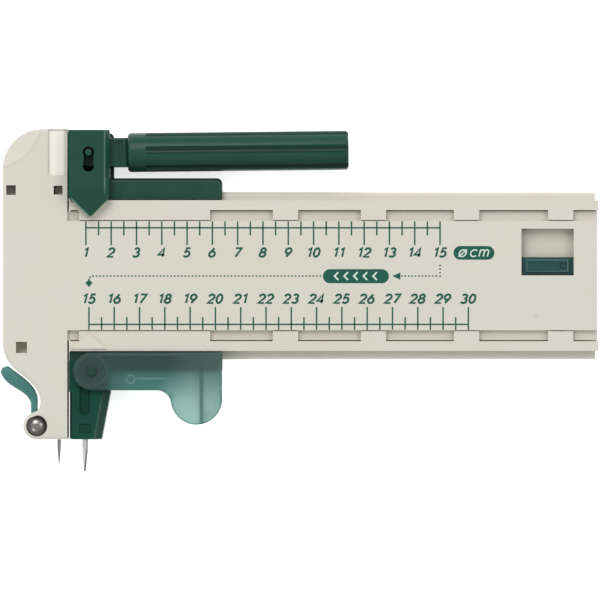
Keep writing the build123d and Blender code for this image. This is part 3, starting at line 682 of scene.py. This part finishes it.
def ribbon(mesh, path, width, low, high):
    """Add a flat strip of even width that follows a path, with mitred corners."""
    points = [Vector(p) for p in path]
    closed = (points[0] - points[-1]).length < 1e-6
    if closed:
        points = points[:-1]
    count = len(points)
    rows = []
    for i, point in enumerate(points):
        before = points[i - 1] if (closed or i > 0) else None
        after = points[(i + 1) % count] if (closed or i < count - 1) else None
        first = (point - before).normalized() if before is not None else (after - point).normalized()
        second = (after - point).normalized() if after is not None else first
        along = (first + second).normalized()
        side = Vector((-along.y, along.x))
        mitre = min(LONGEST_MITRE, 1 / max(0.3, side.dot(Vector((-first.y, first.x)))))
        edges = [point + side * (s * width / 2 * mitre) for s in (1, -1)]
        rows.append([mesh.verts.new((e.x, e.y, z)) for z in (high, low) for e in edges])
    for i in range(count if closed else count - 1):
        a = rows[i]
        b = rows[(i + 1) % count]
        mesh.faces.new((a[0], a[1], b[1], b[0]))
        mesh.faces.new((a[3], a[2], b[2], b[3]))
        mesh.faces.new((a[2], a[0], b[0], b[2]))
        mesh.faces.new((a[1], a[3], b[3], b[1]))
    if not closed:
        for row, flip in ((rows[0], False), (rows[-1], True)):
            corners = (row[0], row[2], row[3], row[1])
            mesh.faces.new(corners[::-1] if flip else corners)


def piece_from(mesh, name, material, body):
    """Turn a bmesh into a printed piece that rides on a body and takes the given material."""
    bmesh.ops.recalc_face_normals(mesh, faces=mesh.faces)
    data = bpy.data.meshes.new(name)
    mesh.to_mesh(data)
    mesh.free()
    data.materials.append(material)
    piece = bpy.data.objects.new(name, data)
    bpy.context.collection.objects.link(piece)
    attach(piece, body)
    return piece


def drawing(name, strokes, width, base, material, body="case"):
    """Make one printed piece from pen strokes given in millimetres."""
    mesh = bmesh.new()
    for i, path in enumerate(strokes):
        top = base + INK_FILM + i % LAYERS * LAYER
        ribbon(mesh, [(x * MM, y * MM) for x, y in path], width * MM, base, top)
    return piece_from(mesh, name, material, body)


def solid_shape(name, outline, base, material, body="case"):
    """Make one printed piece from an outline in millimetres."""
    mesh = bmesh.new()
    low = [mesh.verts.new((x * MM, y * MM, base)) for x, y in outline]
    high = [mesh.verts.new((x * MM, y * MM, base + INK_FILM)) for x, y in outline]
    mesh.faces.new(high)
    mesh.faces.new(low[::-1])
    for i in range(len(outline)):
        j = (i + 1) % len(outline)
        mesh.faces.new((low[i], low[j], high[j], high[i]))
    return piece_from(mesh, name, material, body)


print("pen ready")

# %% [markdown]
# ## Numerals
# Each numeral is drawn in a box one unit high from arcs and straight runs, then leaned over like the real
# ones. The small letters of the unit use the lower part of the same box.

# %% Numerals
GLYPHS = {
    "0": [arc((0.31, 0.5), (0.28, 0.5), 90, 450)],
    "1": [[(0.08, 0.80), (0.33, 1.0), (0.33, 0.0)]],
    "2": [arc((0.31, 0.71), (0.28, 0.29), 170, -28) + [(0.03, 0.0), (0.62, 0.0)]],
    "3": [arc((0.30, 0.75), (0.24, 0.25), 155, -90), arc((0.30, 0.26), (0.29, 0.26), 90, -155)],
    "4": [[(0.47, 0.0), (0.47, 1.0), (0.0, 0.24), (0.64, 0.24)]],
    "5": [[(0.56, 1.0), (0.19, 1.0), (0.10, 0.55)] + arc((0.29, 0.32), (0.30, 0.32), 125, -150)],
    "6": [arc((0.31, 0.31), (0.29, 0.31), 90, 450), [(0.42, 1.0), (0.07, 0.46)]],
    "7": [[(0.03, 1.0), (0.61, 1.0), (0.20, 0.0)]],
    "8": [arc((0.31, 0.76), (0.23, 0.24), 90, 450), arc((0.31, 0.27), (0.29, 0.27), 90, 450)],
    "9": [arc((0.31, 0.69), (0.29, 0.31), 90, 450), [(0.20, 0.0), (0.55, 0.54)]],
    "c": [arc((0.30, 0.31), (0.28, 0.31), 45, 315)],
    "m": [
        [(0.05, 0.0), (0.05, 0.62)],
        arc((0.22, 0.42), (0.17, 0.20), 180, 0) + [(0.39, 0.0)],
        arc((0.56, 0.42), (0.17, 0.20), 180, 0) + [(0.73, 0.0)],
    ],
    "diameter": [arc((0.30, 0.31), (0.28, 0.31), 90, 450), [(0.02, -0.02), (0.58, 0.64)]],
}
ADVANCE = {"1": 0.66, "c": 0.70, "m": 0.95, "diameter": 0.92}
USUAL_ADVANCE = 0.84
LAST_GAP = 0.22  # the empty space after the last glyph of a row
LEAN = 0.26
STRETCH = 1.14


def lettering(glyphs, centre, height):
    """Strokes for a row of glyphs, centred on a point."""
    advances = [ADVANCE.get(glyph, USUAL_ADVANCE) for glyph in glyphs]
    start = -(sum(advances) - LAST_GAP) / 2
    strokes = []
    for glyph, advance in zip(glyphs, advances):
        for path in GLYPHS[glyph]:
            stroke = []
            for along, up in path:
                across = (start + along) * STRETCH + LEAN * (up - 0.5)
                stroke.append((centre[0] + across * height, centre[1] + (up - 0.5) * height))
            strokes.append(stroke)
        start += advance
    return strokes


print("glyphs", len(GLYPHS))

# %% [markdown]
# ## Scale rows
# A row has a mark for each centimetre and a shorter one half way, all hanging from the edge of the face and
# joined by a base line. One loop draws both rows, so a mark and its numeral can't drift apart.

# %% Scale rows
PITCH = 5.0
SCALE_PEN = 0.29
NUMERAL_PEN = 0.42
NUMERAL_HEIGHT = 1.68
# first and last number, first mark's x, then y of the face edge, base line, half mark, full mark and numerals
ROWS = [
    (1, 15, 5.45, 10.72, 9.45, 7.95, 6.05, 4.57),
    (15, 30, 6.05, -10.72, -9.64, -8.2, -6.2, -4.57),
]
ticks = []
numerals = []
for first, last, start, edge, base_line, half, full, middle in ROWS:
    for number in range(first, last + 1):
        x = start + (number - first) * PITCH
        ticks.append([(x, edge), (x, full)])
        if number < last:
            ticks.append([(x + PITCH / 2, edge), (x + PITCH / 2, half)])
        numerals += lettering(str(number), (x, middle), NUMERAL_HEIGHT)
    ticks.append([(start, base_line), (start + (last - first) * PITCH, base_line)])
drawing("scale_marks", ticks, SCALE_PEN, SCALE_FACE, green_ink)
drawing("scale_numerals", numerals, NUMERAL_PEN, SCALE_FACE, green_ink)
print("marks", len(ticks), "numeral strokes", len(numerals))

# %% [markdown]
# ## Return line and pills
# A dotted line with two arrowheads leads from 15 at the end of the upper row back to 15 at the start of the
# lower one. A pill in the line carries plain chevrons that point the same way, and a second pill carries the
# diameter sign and the unit.

# %% Return line and pills
def dotted(start, end, spacing=0.70, size=0.3):
    """Square dots along a straight run."""
    a = Vector(start)
    b = Vector(end)
    count = max(1, round((b - a).length / spacing))
    step = (b - a) / count
    half = step.normalized() * (size / 2)
    return [[tuple(a + step * i - half), tuple(a + step * i + half)] for i in range(count + 1)]


def pill(name, left, right, low, high):
    """A bar with round ends."""
    radius = (high - low) / 2
    middle = (high + low) / 2
    right_end = arc((right - radius, middle), (radius, radius), -90, 90)
    left_end = arc((left + radius, middle), (radius, radius), 90, 270)
    return solid_shape(name, right_end + left_end, SCALE_FACE, green_ink)


LINE_Y = -0.08
DOT = 0.3
CHEVRON_STARTS = (54.6, 56.5, 58.4, 60.3, 62.2)
PILL_FACE = SCALE_FACE + INK_FILM
dots = dotted((75.45, 2.0), (75.45, LINE_Y))
dots += dotted((74.7, LINE_Y), (67.9, LINE_Y))
dots += dotted((51.8, LINE_Y), (6.85, LINE_Y))
dots += dotted((6.3, -0.28), (6.08, -0.72), 0.45)
drawing("return_line", dots, DOT, SCALE_FACE, green_ink)

return_arrow = [(66.0, LINE_Y), (67.6, LINE_Y + 0.7), (67.6, LINE_Y - 0.7)]
restart_arrow = [(6.05, -2.3), (6.75, -1.4), (6.05, -0.8), (5.35, -1.4)]
solid_shape("return_arrow", return_arrow, SCALE_FACE, green_ink)
solid_shape("restart_arrow", restart_arrow, SCALE_FACE, green_ink)
pill("return_pill", 52.3, 65.35, -1.5, 1.27)
pill("unit_pill", 78.1, 86.2, 3.15, 5.85)
chevrons = [[(x + 0.75, 0.68), (x, LINE_Y), (x + 0.75, -0.86)] for x in CHEVRON_STARTS]
drawing("return_chevrons", chevrons, 0.32, PILL_FACE, pale_ink)
unit = lettering(["diameter", "c", "m"], (82.2, 4.85), 2.15)
drawing("unit_sign", unit, 0.25, PILL_FACE, pale_ink)
print("dots", len(dots), "chevrons", len(chevrons))
